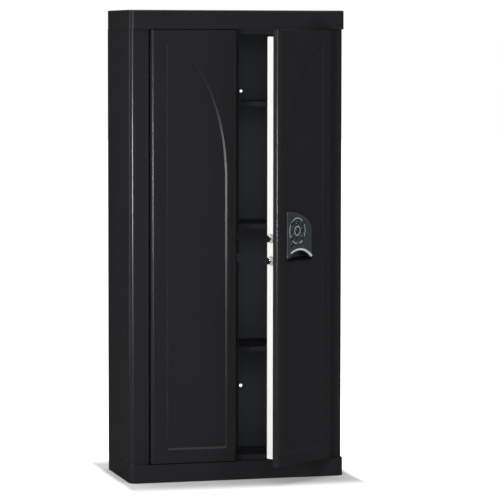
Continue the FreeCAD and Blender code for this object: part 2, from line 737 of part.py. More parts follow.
def slide_guide(level):
    """Block on the cover that a slide bolt runs through."""
    block = box(-SLIDE_X - GUIDE_W / 2, -SLIDE_X + GUIDE_W / 2, COVER_BACK, COVER_BACK + GUIDE_T,
                level - GUIDE_H / 2, level + GUIDE_H / 2)
    rear = [edge for edge in block.Edges
            if edge.BoundBox.YMin > COVER_BACK + GUIDE_T - TINY and edge.BoundBox.XLength < TINY]
    ends = [V(-SLIDE_X, SLIDE_Y, level + step) for step in (-GUIDE_H, GUIDE_H)]
    bore = rod(SLIDE_R + BOLT_GAP, *ends)
    return block.makeFillet(GUIDE_ROUND, rear).cut(bore)


SLIDE_LOW = PAN_LOW - SLIDE_END_GAP
SLIDE_HIGH = PAN_HIGH + SLIDE_END_GAP


def slide_bolt_guides():
    levels = [SLIDE_LOW + step for step in GUIDE_FROM_TIP] + [SLIDE_HIGH - step for step in GUIDE_FROM_TIP]
    return group(slide_guide(level) for level in levels)


# ---------------------------------------------------------------- right door's lock
def right_skin():
    return door_skin().cut(prism(pad_outline(WINDOW_INSET, DOOR_Y), V(0, FREE_FLANGE, 0)))


def bush_hole(radius, level, x0, x1):
    return rod(radius, V(x0, BOLT_Y, level), V(x1, BOLT_Y, level))


def right_pan():
    return door_pan().cut([bush_hole(BUSH_R, z, PAN_FREE, PAN_FREE + PAN_SHEET) for z in BOLT_LEVELS])


def bolt_bush(level):
    sleeve = bush_hole(BUSH_R, level, PAN_FREE, PAN_FREE + BUSH_LONG)
    flange = bush_hole(BUSH_FLANGE_R, level, PAN_FREE - BUSH_FLANGE, PAN_FREE)
    bore = bush_hole(BOLT_R + BOLT_GAP, level, PAN_FREE - BUSH_FLANGE, PAN_FREE + BUSH_LONG)
    return union(sleeve, flange).cut(bore)


BOLT_TIP = PAN_FREE - BOLT_OUT
BAR_X = BOLT_TIP + BOLT_LONG


def lock_bolt(level):
    bolt = bush_hole(BOLT_R, level, BOLT_TIP, BAR_X)
    rim = [edge for edge in bolt.Edges if edge.BoundBox.XMax < BOLT_TIP + TINY]
    return bolt.makeChamfer(BOLT_CHAMFER, rim)


def bolt_bar():
    """Upright bar behind the bolts, with the slotted yoke that the crank pin drives."""
    low, high = BOLT_LEVELS[0] - BAR_PAST, BOLT_LEVELS[-1] + BAR_PAST
    bar = box(BAR_X, BAR_X + BAR_T, BOLT_Y - BOLT_R, BOLT_Y + BOLT_R, low, high)
    yoke = box(BAR_X, CRANK_PIN_X + YOKE_END, YOKE_Y, YOKE_Y + YOKE_T,
               CRANK_Z - YOKE_LOW, CRANK_Z + YOKE_HIGH)
    half = CRANK_PIN_R + SLOT_SIDE_GAP
    ends = [V(CRANK_PIN_X, YOKE_Y, z) for z in (CRANK_PIN_Z - SLOT_PAST, CRANK_Z + CRANK_R + SLOT_PAST)]
    slot = [rod(half, end, end + V(0, YOKE_T, 0)) for end in ends]
    slot.append(box(CRANK_PIN_X - half, CRANK_PIN_X + half, YOKE_Y, YOKE_Y + YOKE_T, ends[0].z, ends[1].z))
    return union(bar, yoke).cut(slot)


def crank_wheel():
    disc = rod(CRANK_DISC_R, V(CRANK_X, DISC_Y, CRANK_Z), V(CRANK_X, DISC_Y + CRANK_DISC_T, CRANK_Z))
    pin = rod(CRANK_PIN_R, V(CRANK_PIN_X, DISC_Y, CRANK_PIN_Z),
              V(CRANK_PIN_X, YOKE_Y + YOKE_T + CRANK_PIN_OUT, CRANK_PIN_Z))
    shaft = rod(CRANK_SHAFT_R, V(CRANK_X, MOTOR_BACK - CRANK_SHAFT_LONG, CRANK_Z),
                V(CRANK_X, DISC_Y, CRANK_Z))
    return union(disc, pin, shaft)


def lock_motor():
    """Right-angle gear motor on the back of the skin."""
    gearbox = box(CRANK_X - MOTOR_W / 2, CRANK_X + MOTOR_W / 2, FIELD_BACK, MOTOR_BACK,
                  CRANK_Z - MOTOR_H / 2, CRANK_Z + MOTOR_H / 2)
    corners = [edge for edge in gearbox.Edges if edge.BoundBox.YLength > TINY]
    gearbox = gearbox.makeFillet(MOTOR_ROUND, corners)
    middle = (FIELD_BACK + MOTOR_BACK) / 2
    low = CRANK_Z - MOTOR_H / 2 - MOTOR_CAN_LONG
    can = rod(MOTOR_CAN_R, V(CRANK_X, middle, low), V(CRANK_X, middle, CRANK_Z))
    bore = rod(CRANK_SHAFT_R + PIN_GAP, V(CRANK_X, MOTOR_BACK - CRANK_SHAFT_LONG - PIN_TAIL, CRANK_Z),
               V(CRANK_X, MOTOR_BACK, CRANK_Z))
    return union(gearbox, can).cut(bore)


def battery_box():
    x0, x1, z0, z1 = BATTERY
    block = box(x0, x1, FIELD_BACK, FIELD_BACK + BATTERY_T, z0, z1)
    corners = [edge for edge in block.Edges if edge.BoundBox.YLength > TINY]
    return block.makeFillet(BATTERY_R, corners)


# ---------------------------------------------------------------- keypad
def key_places():
    """Each key's name with its x and level."""
    return [(name, x, z) for names, z in zip(KEY_NAMES, KEY_LEVELS) for name, x in zip(names, KEY_X)]


def disc(radius, x, z, y0, y1):
    """Round plate that faces the door's front."""
    return rod(radius, V(x, y0, z), V(x, y1, z))


def pad_rings():
    """Fine raised rings round the middle key, left out round the other keys."""
    gaps = [disc(BEZEL_R + RING_W / 2, x, z, PAD_Y - RING_OUT, PAD_Y) for name, x, z in key_places()]
    rings = []
    for radius in RING_RS:
        ring = disc(radius + RING_W / 2, KEY_X[1], KEY_LEVELS[1], PAD_Y - RING_OUT, PAD_Y)
        ring = ring.cut(disc(radius - RING_W / 2, KEY_X[1], KEY_LEVELS[1], PAD_Y - RING_OUT, PAD_Y))
        rings += ring.cut(gaps).Solids
    return rings


def keypad_housing():
    """Metal housing: front plate, rim, bosses for the board and the finger cup behind its mouth."""
    shell = prism(pad_outline(0, PAD_Y), V(0, FIELD_Y - PAD_Y, 0))
    rim = [edge for edge in shell.Edges if edge.BoundBox.YMax < PAD_Y + TINY]
    shell = shell.makeFillet(PAD_EDGE_R, rim)
    shell = shell.cut(prism(pad_outline(PAD_RIM, PLATE_BACK), V(0, FIELD_Y - PLATE_BACK, 0)))
    bosses = [disc(BOSS_R, x, z, PLATE_BACK, PLATE_BACK + BOARD_FROM_PLATE) for x, z in BOSSES]
    bezels = [disc(BEZEL_R, x, z, PAD_Y - BEZEL_OUT, PAD_Y) for name, x, z in key_places()]
    x0, x1, z0, z1 = CUP
    cup = box(x0, x1, PLATE_BACK, DOOR_Y + CUP_DEEP, z0, z1)
    hollow = box(x0 + CUP_WALL, x1 - CUP_WALL, PLATE_BACK, DOOR_Y + CUP_DEEP - CUP_WALL,
                 z0 + CUP_WALL, z1 - CUP_WALL)
    backs = [edge for edge in hollow.Edges if edge.BoundBox.YMin > DOOR_Y + CUP_DEEP - CUP_WALL - TINY]
    hollow = hollow.makeFillet(CUP_ROUND, backs)
    mouth = prism(through(LIP_UNDER, MOUTH_LOW, PAD_Y), V(0, PAD_PLATE, 0))
    holes = [disc(KEY_R + KEY_GAP, x, z, PAD_Y - BEZEL_OUT, PLATE_BACK) for name, x, z in key_places()]
    lamps = [disc(LAMP_R, x, z, PAD_Y, PLATE_BACK) for x, z in LAMPS]
    solid = union(shell, cup, *bosses, *bezels, *pad_rings())
    return solid.cut([hollow, mouth] + holes + lamps)


def pull_lip():
    """Bright lip over the finger cup's mouth."""
    arcs = [[V(x, PAD_Y, z) for x, z in points] for points in (LIP_UNDER, LIP_OVER)]
    edges = [Part.Arc(*points).toShape() for points in arcs]
    edges += [Part.makeLine(arcs[0][end], arcs[1][end]) for end in (0, 2)]
    lip = prism(edges, V(0, -LIP_OUT, 0))
    rim = [edge for edge in lip.Edges if edge.BoundBox.YMax < PAD_Y - LIP_OUT + TINY]
    return lip.makeFillet(LIP_EDGE_R, rim)


def key_cap(x, z):
    """Round key with a flange that keeps it in the housing."""
    front = PAD_Y - KEY_OUT
    flange_y = PLATE_BACK + KEY_GAP
    cap = disc(KEY_R, x, z, front, flange_y)
    rim = [edge for edge in cap.Edges if edge.BoundBox.YMax < front + TINY]
    cap = cap.makeChamfer(KEY_EDGE, rim)
    return union(cap, disc(KEY_FLANGE_R, x, z, flange_y, flange_y + KEY_FLANGE))


def indicator_lamps():
    return group(disc(LAMP_R, x, z, PAD_Y - LAMP_OUT, PLATE_BACK) for x, z in LAMPS)


def circuit_board():
    """Board on the housing's bosses, with a switch under each key."""
    front = PLATE_BACK + BOARD_FROM_PLATE
    board = prism(pad_outline(BOARD_INSET, front), V(0, BOARD_T, 0))
    below = box(PAD_FREE_X, PAD_HINGE_X, front, front + BOARD_T, PAD_LOW, BOARD_LOW)
    pressed = PLATE_BACK + KEY_GAP + KEY_FLANGE + KEY_TRAVEL + KEY_GAP
    switches = [disc(SWITCH_R, x, z, pressed, front) for name, x, z in key_places()]
    return union(board.cut(below), *switches)


# ---------------------------------------------------------------- all nodes
nodes = {
    "base_plinth": base_plinth(),
    "base_plate": base_plate(),
    "top_cap": top_cap(),
    "roof_panel": roof_panel(),
    "right_side_panel": right_side_panel(),
    "left_side_panel": mirrored(right_side_panel()),
    "back_panel": back_panel(),
    "header_rail": rail(BODY_TOP, -1),
    "sill_rail": rail(BASE_H, 1),
    "centre_divider": centre_divider(),
    "shelf_standards": shelf_standards(),
    "shelf_clips": shelf_clips(),
    "barrel_rack": barrel_rack(),
    "barrel_foam": barrel_foam(),
    "stock_mat": stock_mat(),
    "astragal": astragal(),
    "strike_blocks": group(strike_block(level) for level in BOLT_LEVELS),
    "slide_bolt_guides": slide_bolt_guides(),
    "lower_slide_bolt": slide_bolt(SLIDE_LOW, 1),
    "upper_slide_bolt": slide_bolt(SLIDE_HIGH, -1),
}
for name, top in zip(("lower_shelf", "middle_shelf", "upper_shelf"), SHELF_TOPS):
    nodes[name] = shelf(top)

# Pieces that both sides have
brackets = group(hinge_bracket(level) for level in HINGE_LEVELS)
pins = group(hinge_pin(level) for level in HINGE_LEVELS)
for name, shape in (("hinge_brackets", brackets), ("hinge_pins", pins)):
    nodes["right_" + name] = shape
    nodes["left_" + name] = mirrored(shape)
nodes["left_door_skin"] = mirrored(door_skin())
nodes["left_door_pan"] = mirrored(door_pan())
for name, shape in (("door_cover", door_cover()), ("cover_screws", cover_screws()),
                    ("hinge_arms", hinge_arms())):
    nodes["right_" + name] = swung(shape)
    nodes["left_" + name] = mirrored(shape)

# The rest of the right door
for name, shape in (("right_door_skin", right_skin()), ("right_door_pan", right_pan()),
                    ("bolt_bushes", group(bolt_bush(level) for level in BOLT_LEVELS)),
                    ("lock_bolts", group(lock_bolt(level) for level in BOLT_LEVELS)),
                    ("bolt_bar", bolt_bar()), ("crank_wheel", crank_wheel()), ("lock_motor", lock_motor()),
                    ("battery_box", battery_box()), ("keypad_housing", keypad_housing()),
                    ("pull_lip", pull_lip()), ("indicator_lamps", indicator_lamps()),
                    ("circuit_board", circuit_board())):
    nodes[name] = swung(shape)
for name, x, z in key_places():
    nodes["key_" + name] = swung(key_cap(x, z))

os.makedirs("parts", exist_ok=True)
for name, shape in nodes.items():
    shape.exportStep("parts/" + name + ".step")
    print(name, len(shape.Solids), round(shape.Volume), shape.isValid())
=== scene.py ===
# %% [markdown]
# A steel gun safe with two doors. The engineering model is loaded first and stays as it is. This lesson dresses it:
# it gives every sheet, bolt and key its finish, softens the sheet metal's edges, and makes the small pieces that a
# machinist's model leaves plain, such as screw heads, dished keys with their digits, and the foam on the left side.

import json
import math

import bmesh
import bpy
from mathutils import Matrix, Vector


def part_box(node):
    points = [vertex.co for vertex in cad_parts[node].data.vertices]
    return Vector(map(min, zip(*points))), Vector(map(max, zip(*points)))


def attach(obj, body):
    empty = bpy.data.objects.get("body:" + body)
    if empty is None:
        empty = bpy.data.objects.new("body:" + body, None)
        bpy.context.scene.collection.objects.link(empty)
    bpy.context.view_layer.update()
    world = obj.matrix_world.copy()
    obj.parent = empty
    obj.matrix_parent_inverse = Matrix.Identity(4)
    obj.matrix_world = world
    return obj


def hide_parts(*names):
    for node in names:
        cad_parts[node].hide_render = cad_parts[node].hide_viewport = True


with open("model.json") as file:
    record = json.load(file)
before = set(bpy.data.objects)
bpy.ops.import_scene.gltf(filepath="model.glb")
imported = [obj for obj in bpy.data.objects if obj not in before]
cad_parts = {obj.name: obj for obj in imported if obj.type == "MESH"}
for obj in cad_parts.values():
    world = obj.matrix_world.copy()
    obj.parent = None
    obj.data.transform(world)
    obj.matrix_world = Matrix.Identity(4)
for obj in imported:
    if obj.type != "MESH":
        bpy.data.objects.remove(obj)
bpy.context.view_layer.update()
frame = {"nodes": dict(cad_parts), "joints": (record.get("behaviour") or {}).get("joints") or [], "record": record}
SCENE = bpy.context.scene
SUBPARTS = frame["record"]["subparts"]
MM = 0.001

# %% [markdown]
# The right door stands open. Its pieces are easiest to think about with the door shut, square to the axes, so two
# helpers turn things about the hinge: one reads a node's box as it would be when shut, and one swings a finished
# mesh out to where the door rests. The hinge and the angle come from the joint itself.

# %% The right door's own directions
hinge = next(joint for joint in frame["joints"] if joint["name"] == "right_door_hinge")
OPEN = -math.radians(hinge["range_deg"][0]) if "range_deg" in hinge else -hinge["range"][0]
HINGE = Vector(hinge["pos_m"])
SWING = Matrix.Translation(HINGE) @ Matrix.Rotation(OPEN, 4, "Z") @ Matrix.Translation(-HINGE)


def shut_box(node):
    """A right-door node's lowest and highest corner with the door shut."""
    back = SWING.inverted()
    points = [back @ vertex.co for vertex in frame["nodes"][node].data.vertices]
    return (Vector([min(point[axis] for point in points) for axis in range(3)]),
            Vector([max(point[axis] for point in points) for axis in range(3)]))


def shut_centre(node):
    """The middle of that box."""
    low, high = shut_box(node)
    return (low + high) / 2


print("door open by", round(math.degrees(OPEN), 1), "degrees about", [round(value, 4) for value in HINGE])

# %% [markdown]
# The camera stands to the left of the safe at eye height with a long lens, so that upright edges stay nearly
# parallel. A small downward shift frames the safe without tilting the camera any further.

# %% Camera
EYE = (-2.306, -8.760, 1.400)
TILT_ROLL_TURN = (86.255, -0.073, -15.258)
camera_data = bpy.data.cameras.new("camera")
camera_data.lens = 201.6
camera_data.shift_y = -0.05
camera_data.clip_end = 100.0
camera = bpy.data.objects.new("camera", camera_data)
camera.location = EYE
camera.rotation_euler = [math.radians(angle) for angle in TILT_ROLL_TURN]
SCENE.collection.objects.link(camera)
SCENE.camera = camera
print("lens", round(camera_data.lens, 1), "mm, from", EYE)

# %% [markdown]
# Shaders are sums of simple patterns, and sums read best as Python expressions. This small class wraps one output
# of a node tree: plus, minus and times add Math nodes, and every other node comes from the add method. Positions are
# in metres, so the scale of a noise is about its number of waves in a metre.

# %% Sockets in expressions
class Value:
    """One output of a node tree, ready for use in an expression."""

    def __init__(self, tree, socket=None):
        self.tree = tree
        self.socket = socket

    def add(self, kind, settings=(), sockets=(), output=0):
        """Any node: its type, its settings, then the values or links of its sockets."""
        node = self.tree.nodes.new(kind)
        for name, setting in dict(settings).items():
            setattr(node, name, setting)
        for key, given in dict(sockets).items():
            if isinstance(given, Value):
                self.tree.links.new(given.socket, node.inputs[key])
            else:
                node.inputs[key].default_value = given
        return Value(self.tree, node.outputs[output])

    def math(self, operation, first, *others):
        """A Math node on these values."""
        return self.add("ShaderNodeMath", {"operation": operation}, dict(enumerate((first,) + others)))

    def __add__(self, other):
        return self.math("ADD", self, other)

    def __sub__(self, other):
        return self.math("SUBTRACT", self, other)

    def __rsub__(self, other):
        return self.math("SUBTRACT", other, self)

    def __mul__(self, other):
        return self.math("MULTIPLY", self, other)

    __radd__ = __add__
    __rmul__ = __mul__

    def step(self, low, high):
        """0 below low, 1 above high, smooth between them."""
        settings = {"interpolation_type": "SMOOTHSTEP"}
        return self.add("ShaderNodeMapRange", settings, {"Value": self, "From Min": low, "From Max": high})

    def part(self, axis):
        """One coordinate of this position."""
        return self.add("ShaderNodeSeparateXYZ", (), {"Vector": self}, axis)

    def size(self):
        """This value without its sign."""
        return self.math("ABSOLUTE", self)

    def above(self, floor):
        """The larger of the two."""
        return self.math("MAXIMUM", self, floor)

    def noise(self, scale, detail=2.0):
        """Soft noise over this position."""
        return self.add("ShaderNodeTexNoise", (), {"Vector": self, "Scale": scale, "Detail": detail})

    def stretched(self, scale, turn=0.0):
        """This position with its axes scaled, after a turn about the upright axis."""
        return self.add("ShaderNodeMapping", {"vector_type": "POINT"},
                        {"Vector": self, "Rotation": (0.0, 0.0, turn), "Scale": scale})

    def between(self, first, second):
        """A colour between two, by this share."""
        return self.add("ShaderNodeMix", {"data_type": "RGBA"}, {0: self, 6: first, 7: second}, 2)

    def bump(self, height):
        """Normals bent by this pattern, whose crests are this high."""
        return self.add("ShaderNodeBump", (), {"Height": self, "Distance": height, "Strength": 1.0})


print("an expression can use", [name for name in vars(Value) if not name.startswith("_")])

# %% [markdown]
# A material starts from the standard shader. What is the same all over it is set on the shader's own sockets, and a
# recipe says what varies from place to place.

# %% A finish
def rgb(red, green, blue):
    """An opaque colour, linear."""
    return (red, green, blue, 1.0)


def finish(name, fixed, recipe):
    """A material: fixed sockets by name, and a recipe that turns position into what varies."""
    material = bpy.data.materials.new(name)
    material.use_nodes = True
    tree = material.node_tree
    shader = tree.nodes["Principled BSDF"]
    for socket, setting in fixed.items():
        shader.inputs[socket].default_value = setting
    place = Value(tree).add("ShaderNodeTexCoord", output="Object")
    for socket, value in recipe(place).items():
        tree.links.new(value.socket, shader.inputs[socket])
    return material


print("a finish is fixed sockets and a recipe")

# %% [markdown]
# Most finishes are described in the same words: a colour that drifts between two shades, a gloss that is slightly
# uneven, and a surface that isn't quite flat. So one function makes such a recipe from those words. The uneven gloss
# may follow the drift of the colour, as on gloss paint, or the grain itself, as on powder coat and plastic.

# %% One recipe for most finishes
def coat(shades, drift, grain, detail, rough, uneven, height, gloss_drifts=False):
    """Colour between two shades, roughness from rough to rough + uneven, and grain of a height."""
    def recipe(place):
        cloud = place.noise(drift)
        bumps = place.noise(grain, detail)
        return {"Base Color": cloud.between(*shades),
                "Roughness": rough + (cloud if gloss_drifts else bumps) * uneven,
                "Normal": bumps.bump(height)}
    return recipe


def drawn(shades, drift, along, turn, detail, rough, uneven, height):
    """The same for rolled or turned metal, whose grain is a noise stretched into lines."""
    def recipe(place):
        lines = place.stretched(along, turn).noise(1.0, detail)
        return {"Base Color": place.noise(drift).between(*shades),
                "Roughness": rough + lines * uneven,
                "Normal": lines.bump(height)}
    return recipe


print("recipes for painted and for drawn surfaces")

# %% [markdown]
# The outer steel has a baked gloss enamel. Two things tell the eye that it is paint and not plastic: a very slight
# orange peel, a few millimetres from crest to crest, and a gloss that is a little uneven over a hand's width.
# The inside has a finer, duller powder coat in dark slate, and the shelves and rails the same coat in black. The
# doors' inner trays are white.

# %% Enamels
black_enamel = coat((rgb(0.0150, 0.0155, 0.0165), rgb(0.0175, 0.0180, 0.0195)), drift=5.0, grain=260.0, detail=1.0,
                    rough=0.16, uneven=0.06, height=0.006 * MM, gloss_drifts=True)
slate = coat((rgb(0.108, 0.118, 0.144), rgb(0.128, 0.138, 0.169)), drift=4.0, grain=900.0, detail=3.0,
             rough=0.40, uneven=0.12, height=0.05 * MM)
shelf_enamel = coat((rgb(0.016, 0.017, 0.020), rgb(0.020, 0.021, 0.025)), drift=4.0, grain=900.0, detail=3.0,
                    rough=0.38, uneven=0.12, height=0.04 * MM)
white_enamel = coat((rgb(0.80, 0.797, 0.755), rgb(0.765, 0.762, 0.718)), drift=6.0, grain=300.0, detail=1.0,
                    rough=0.30, uneven=0.10, height=0.03 * MM, gloss_drifts=True)
BACK_BLACK = rgb(0.016, 0.0165, 0.018)
EDGE_BLUR = 0.1 * MM
back_low, back_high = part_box("back_panel")
back_middle = (back_low[1] + back_high[1]) / 2


def inner_enamel(place):
    """Slate inside. The back panel's outer face, past the middle of its sheet, is black like the rest."""
    varied = slate(place)
    outer = place.part("Y").step(back_middle - EDGE_BLUR, back_middle + EDGE_BLUR)
    varied["Base Color"] = outer.between(varied["Base Color"], BACK_BLACK)
    return varied


print("the back panel is black behind y =", round(back_middle, 4), "m")

# %% [markdown]
# Bare metals differ mostly in how they were made. Rolled and plated steel has fine streaks along the sheet, so its
# noise is stretched. Satin silver is brushed more finely, and chrome is nearly a mirror.

# %% Metals
def plated(light, dark, rough):
    return drawn((light, dark), drift=30.0, along=(90.0, 90.0, 2200.0), turn=0.0, detail=3.0,
                 rough=rough, uneven=0.16, height=0.02 * MM)


satin_silver = drawn((rgb(0.84, 0.85, 0.86), rgb(0.76, 0.77, 0.78)), drift=50.0, along=(200.0, 200.0, 2600.0),
                     turn=0.0, detail=2.0, rough=0.24, uneven=0.12, height=0.008 * MM)
chrome = drawn((rgb(0.78, 0.79, 0.81), rgb(0.70, 0.72, 0.74)), drift=60.0, along=(3000.0, 3000.0, 60.0),
               turn=-OPEN, detail=1.0, rough=0.05, uneven=0.08, height=0.004 * MM)
print("plated, satin and chromed metal")

# %% [markdown]
# The keypad's grey lacquer has a fine metal flake under it, and two bright rings are printed round the middle key.
# The distance from that key, with the door shut, draws them. Below the pull the recess's shade is painted black.

# %% The keypad's lacquer
RINGS = (14.0 * MM, 40.0 * MM)
RING_HALF = 0.8 * MM
RING_EDGE = (0.7, 1.1)
RING_SILVER = rgb(0.62, 0.65, 0.66)
LACQUER = (rgb(0.068, 0.090, 0.099), rgb(0.130, 0.164, 0.176))
# Painted shade: below the finger pull the lacquer is painted black where the recess lies in shade.
RECESS_SHADE_BLACK = rgb(0.012, 0.013, 0.014)
RECESS_SHADE_BLUR = 1.0 * MM
FLAKE_METALLIC = 0.7
middle_key = shut_centre("key_5")
lip_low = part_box("pull_lip")[0][2]


def pad_metal(place):
    """Grey lacquer with the finger recess's shade painted black below the pull, and two fine bright rings round the
    middle key.
    """
    shut = place.add("ShaderNodeVectorRotate", {"rotation_type": "Z_AXIS"},
                     {"Vector": place, "Center": HINGE, "Angle": -OPEN})
    flat = shut.add("ShaderNodeVectorMath", {"operation": "MULTIPLY"}, {0: shut, 1: (1.0, 0.0, 1.0)})
    centre = (middle_key.x, 0.0, middle_key.z)
    out = flat.add("ShaderNodeVectorMath", {"operation": "DISTANCE"}, {0: flat, 1: centre}, "Value")
    bright = 0.0
    for radius in RINGS:
        off = (out - radius).size()
        bright = bright + (1 - off.step(RING_HALF * RING_EDGE[0], RING_HALF * RING_EDGE[1]))
    flake = place.noise(2600.0)
    lacquer = (place.noise(18.0) * 0.5 + flake * 0.5).between(*LACQUER)
    # Painted shade of the finger recess: black below the pull's lip.
    above_recess_shade = shut.part("Z").step(lip_low - RECESS_SHADE_BLUR, lip_low + RECESS_SHADE_BLUR)
    return {"Base Color": bright.between(above_recess_shade.between(RECESS_SHADE_BLACK, lacquer), RING_SILVER),
            "Metallic": FLAKE_METALLIC * (1 - bright),
            "Roughness": 0.34 + flake * 0.12,
            "Normal": flake.bump(0.01 * MM)}


print("rings of", [round(radius / MM) for radius in RINGS], "mm round the middle key")

# %% [markdown]
# The plastics are moulded, with a fine spark-eroded grain. The foam is closed-cell: small round cells of different
# sizes, which a Voronoi pattern gives straight away. The ribbed mat underneath has the same skin. The circuit board's
# green solder mask shows its tracks as a brick pattern.

# %% Plastics, lens, board and foam
MASK_SCALE = 220.0
CELLS = 700.0


def moulded(light, dark, rough):
    return coat((light, dark), drift=25.0, grain=1500.0, detail=2.0, rough=rough, uneven=0.10, height=0.02 * MM)


def solder_mask(place):
    tracks = place.add("ShaderNodeTexBrick", {"offset": 0.5}, {"Vector": place, "Scale": MASK_SCALE}, "Fac")
    return {"Base Color": tracks.between(rgb(0.020, 0.16, 0.070), rgb(0.035, 0.24, 0.10)),
            "Roughness": 0.30 + tracks * 0.10,
            "Normal": tracks.bump(0.03 * MM)}


def foam(place):
    cells = place.add("ShaderNodeTexVoronoi", {"feature": "F1"}, {"Vector": place, "Scale": CELLS}, "Distance")
    return {"Base Color": place.noise(12.0).between(rgb(0.045, 0.045, 0.048), rgb(0.070, 0.070, 0.073)),
            "Roughness": 0.80 + cells * 0.15,
            "Normal": cells.bump(0.3 * MM)}


print("foam of about", round(CELLS * MM, 1), "cells in a millimetre")

# %% [markdown]
# Each slot of the record gets its material here. The sockets that are the same all over a surface are plain numbers.
# The tables give a light shade, a dark shade and a roughness. The finger pull is satin silver where the lock bolts
# are chrome, the bolts' bushes are nickel-plated, and the shelves and rails are black.

# %% Materials by slot
STEEL = {"Metallic": 1.0}
NICKEL = {"Metallic": 0.8}
PLATED = {
    "zinc_steel": (rgb(0.58, 0.58, 0.57), rgb(0.47, 0.47, 0.46), 0.28),
    "pin_steel": (rgb(0.64, 0.64, 0.64), rgb(0.55, 0.55, 0.56), 0.20),
    "motor_steel": (rgb(0.44, 0.45, 0.46), rgb(0.35, 0.36, 0.37), 0.34),
}
MOULDED = {
    "key_plastic": (rgb(0.007, 0.008, 0.009), rgb(0.011, 0.012, 0.013), 0.30),
    "lamp_plastic": (rgb(0.014, 0.016, 0.017), rgb(0.020, 0.022, 0.024), 0.16),
    "box_plastic": (rgb(0.026, 0.026, 0.026), rgb(0.034, 0.034, 0.034), 0.42),
}
FINISHES = {
    "black_enamel": finish("black_enamel", {"Specular IOR Level": 0.30}, black_enamel),
    "inner_enamel": finish("inner_enamel", {"Specular IOR Level": 0.35}, inner_enamel),
    "white_enamel": finish("white_enamel", {}, white_enamel),
    "chrome": finish("chrome", STEEL, chrome),
    "bush_brass": finish("nickel", NICKEL, plated(rgb(0.70, 0.69, 0.66), rgb(0.60, 0.59, 0.56), 0.26)),
    "pad_metal": finish("pad_metal", {}, pad_metal),
    "board": finish("board", {}, solder_mask),
    "grey_foam": finish("grey_foam", {}, foam),
}
FINISHES.update({slot: finish(slot, STEEL, plated(*look)) for slot, look in PLATED.items()})
FINISHES.update({slot: finish(slot, {}, moulded(*look)) for slot, look in MOULDED.items()})
SPECIAL = {"pull_lip": finish("satin_silver", {"Metallic": 0.35}, satin_silver)}
shelf_black = finish("shelf_black", {"Specular IOR Level": 0.30}, shelf_enamel)
SPECIAL.update(dict.fromkeys(("upper_shelf", "middle_shelf", "lower_shelf", "header_rail", "sill_rail"), shelf_black))
for part in SUBPARTS:
    mesh = frame["nodes"][part["node"]].data
    mesh.materials.clear()
    mesh.materials.append(SPECIAL.get(part["node"], FINISHES[part["material_slot"]]))
print(len(FINISHES), "slots and", len(SPECIAL), "nodes with a finish of their own, on", len(SUBPARTS), "nodes")

# %% [markdown]
# Sheet metal never has a knife edge. The engineering model's meshes are loose triangles, so a stack of modifiers
# first welds them, then merges coplanar triangles into whole faces, then rounds each sharp edge by a fraction of a
# millimetre, and last weights the normals so that the flat faces stay flat. The meshes themselves aren't touched.

# %% Soft edges on the sheet metal
SHARP = math.radians(28)
FLAT_WITHIN = math.radians(0.3)
WELD_WITHIN = 0.01 * MM
EDGE_ROUNDS = {"black_enamel": 0.5, "inner_enamel": 0.4, "white_enamel": 0.4, "zinc_steel": 0.3, "pin_steel": 0.2,
               "chrome": 0.25, "bush_brass": 0.2, "motor_steel": 0.4, "pad_metal": 0.2, "key_plastic": 0.15,
               "lamp_plastic": 0.1, "board": 0.1, "box_plastic": 0.4, "grey_foam": 0.5}


def soften(item, width):
    """Weld, flatten, round and shade one node."""
    item.modifiers.new("weld", "WELD").merge_threshold = WELD_WITHIN
    flatten = item.modifiers.new("flatten", "DECIMATE")
    flatten.decimate_type = "DISSOLVE"
    flatten.angle_limit = FLAT_WITHIN
    rounding = item.modifiers.new("round", "BEVEL")
    rounding.width = width * MM
    rounding.segments = 2
    rounding.limit_method = "ANGLE"
    rounding.angle_limit = SHARP
    rounding.harden_normals = False
    item.modifiers.new("shade", "WEIGHTED_NORMAL").keep_sharp = True


for part in SUBPARTS:
    soften(frame["nodes"][part["node"]], EDGE_ROUNDS[part["material_slot"]])
print("softened", len(SUBPARTS), "nodes")

# %% [markdown]
# New pieces are made in mesh code. One helper turns what a maker draws into an object, with its faces turned
# outwards, and one keeps the evaluated shape of an object as a plain mesh.

# %% Pieces from mesh code
SAME_POINT = 0.001 * MM


def mesh_piece(name, maker, slot):
    """An object whose mesh a maker draws in bmesh."""
    drawing = bmesh.new()
    maker(drawing)
    bmesh.ops.remove_doubles(drawing, verts=drawing.verts, dist=SAME_POINT)
    bmesh.ops.recalc_face_normals(drawing, faces=drawing.faces)
    mesh = bpy.data.meshes.new(name)
    drawing.to_mesh(mesh)
    drawing.free()
    for polygon in mesh.polygons:
        polygon.use_smooth = True
    mesh.materials.append(FINISHES[slot])
    item = bpy.data.objects.new(name, mesh)
    SCENE.collection.objects.link(item)
    return item


def baked(item, name):
    """The evaluated shape of an object, as a plain mesh object that takes its place."""
    bpy.context.view_layer.update()
    mesh = bpy.data.meshes.new_from_object(item.evaluated_get(bpy.context.evaluated_depsgraph_get()))
    bpy.data.objects.remove(item)
    mesh.name = name
    plain = bpy.data.objects.new(name, mesh)
    SCENE.collection.objects.link(plain)
    return plain


print("pieces weld within", SAME_POINT / MM, "mm")

# %% [markdown]
# Two more helpers: one gives a piece its body, and names the node that it replaces. The other turns a
# profile into a closed solid, as a lathe does.

# %% Placing and turning pieces
def settle(item, body, slot, *nodes):
    """Rides on its body and stands for the named nodes. The slot is not used."""
    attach(item, body)
    if nodes:
        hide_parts(*nodes)


def lathe(drawing, profile, centre, steps):
    """A turned solid about the front-to-back line through a centre. The profile has radius and depth pairs."""
    rings = []
    for radius, depth in profile:
        ring = []
        for step in range(steps):
            angle = 2 * math.pi * step / steps
            ring.append(drawing.verts.new((centre[0] + radius * math.cos(angle), depth,
                                           centre[2] + radius * math.sin(angle))))
        rings.append(ring)
    for ring, after in zip(rings, rings[1:]):
        for step in range(steps):
            following = (step + 1) % steps
            drawing.faces.new((ring[step], ring[following], after[following], after[step]))
    drawing.faces.new(rings[0])
    drawing.faces.new(rings[-1])


print("a turned piece stands along the front-to-back line")

